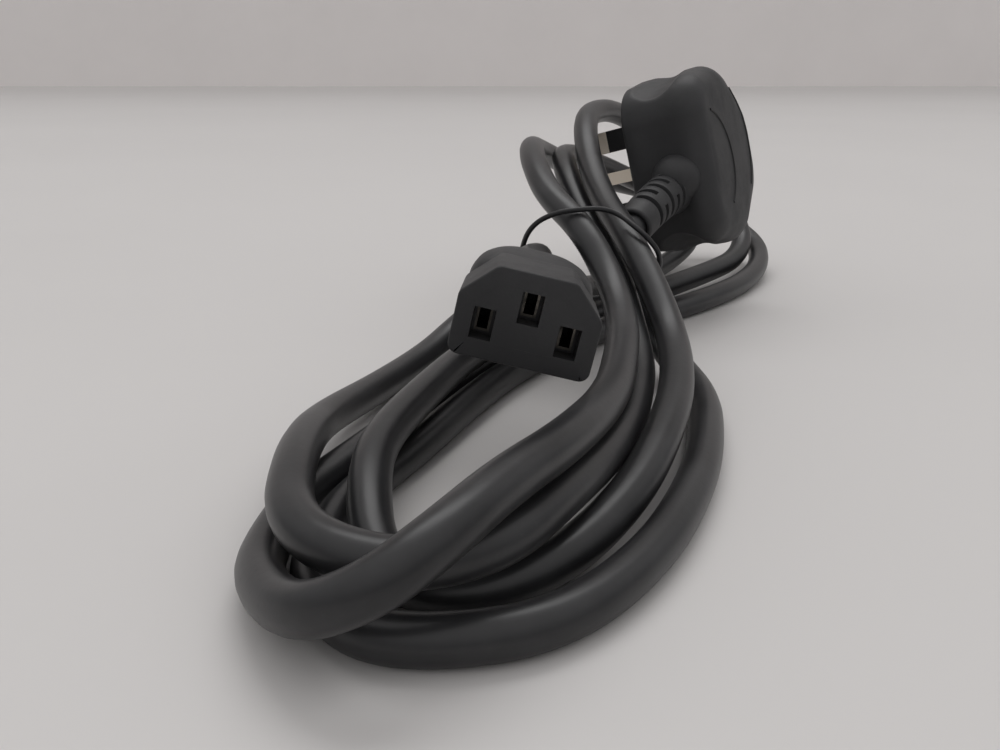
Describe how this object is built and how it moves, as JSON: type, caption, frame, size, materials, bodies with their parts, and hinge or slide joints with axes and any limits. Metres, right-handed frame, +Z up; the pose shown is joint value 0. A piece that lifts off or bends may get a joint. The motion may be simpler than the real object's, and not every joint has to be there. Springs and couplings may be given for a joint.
{
  "type": "uk three pin plug",
  "caption": "Moulded three-pin fused mains plug on a folded, tied cord with an appliance connector on its far end.",
  "frame": {"origin": "centre of the pin face, midway between the line and neutral pins", "axes": "+Z up, +Y from the pin face's centre towards the earth pin and away from the cord exit; the plug leans 15 degrees about Y, so its pins point along -X and a little down"},
  "size_m": [0.1061, 0.2935, 0.0719],
  "materials": {
    "moulding": "fine moulded texture",
    "cord_sheath": "smooth flexible plastic",
    "carrier": "smooth moulded",
    "bridge": "moulded, hidden inside",
    "pin_metal": "nickel plated",
    "sleeve": "smooth insulation",
    "contact_metal": "bare brass strip",
    "fuse_ceramic": "glazed ceramic",
    "fuse_metal": "plated cap",
    "core_brown": "core insulation",
    "core_blue": "core insulation",
    "core_green": "core insulation with a yellow stripe",
    "insert_plastic": "smooth moulded",
    "tie_wire": "plastic covered wire"
  },
  "bodies": {
    "plug": {"plug_overmould": "moulding", "pin_bridge": "bridge", "line_pin": "pin_metal", "neutral_pin": "pin_metal", "earth_pin": "pin_metal", "line_pin_sleeve": "sleeve", "neutral_pin_sleeve": "sleeve", "supply_fuse_clip": "contact_metal", "line_fuse_clip": "contact_metal", "neutral_crimp": "contact_metal", "earth_crimp": "contact_metal", "line_core": "core_brown", "neutral_core": "core_blue", "earth_core": "core_green", "connector_overmould": "moulding", "connector_insert": "insert_plastic", "connector_line_contact": "contact_metal", "connector_neutral_contact": "contact_metal", "connector_earth_contact": "contact_metal", "connector_line_core": "core_brown", "connector_neutral_core": "core_blue", "connector_earth_core": "core_green", "cord_tie": "tie_wire", "cord_first_fold": "cord_sheath", "cord_outer_back_loop": "cord_sheath", "cord_top_fold": "cord_sheath", "cord_inner_back_loop": "cord_sheath", "cord_middle_fold": "cord_sheath", "cord_centre_back_loop": "cord_sheath", "cord_last_fold": "cord_sheath"},
    "fuse_drawer": {"fuse_carrier": "carrier", "fuse_tube": "fuse_ceramic", "fuse_cap_near": "fuse_metal", "fuse_cap_far": "fuse_metal"}
  },
  "joints": [
    {"name": "drawer_slide", "type": "slide", "parent": "plug", "child": "fuse_drawer", "axis": [-0.9659, 0, -0.2588], "range_m": [0, 0.012]}
  ]
}
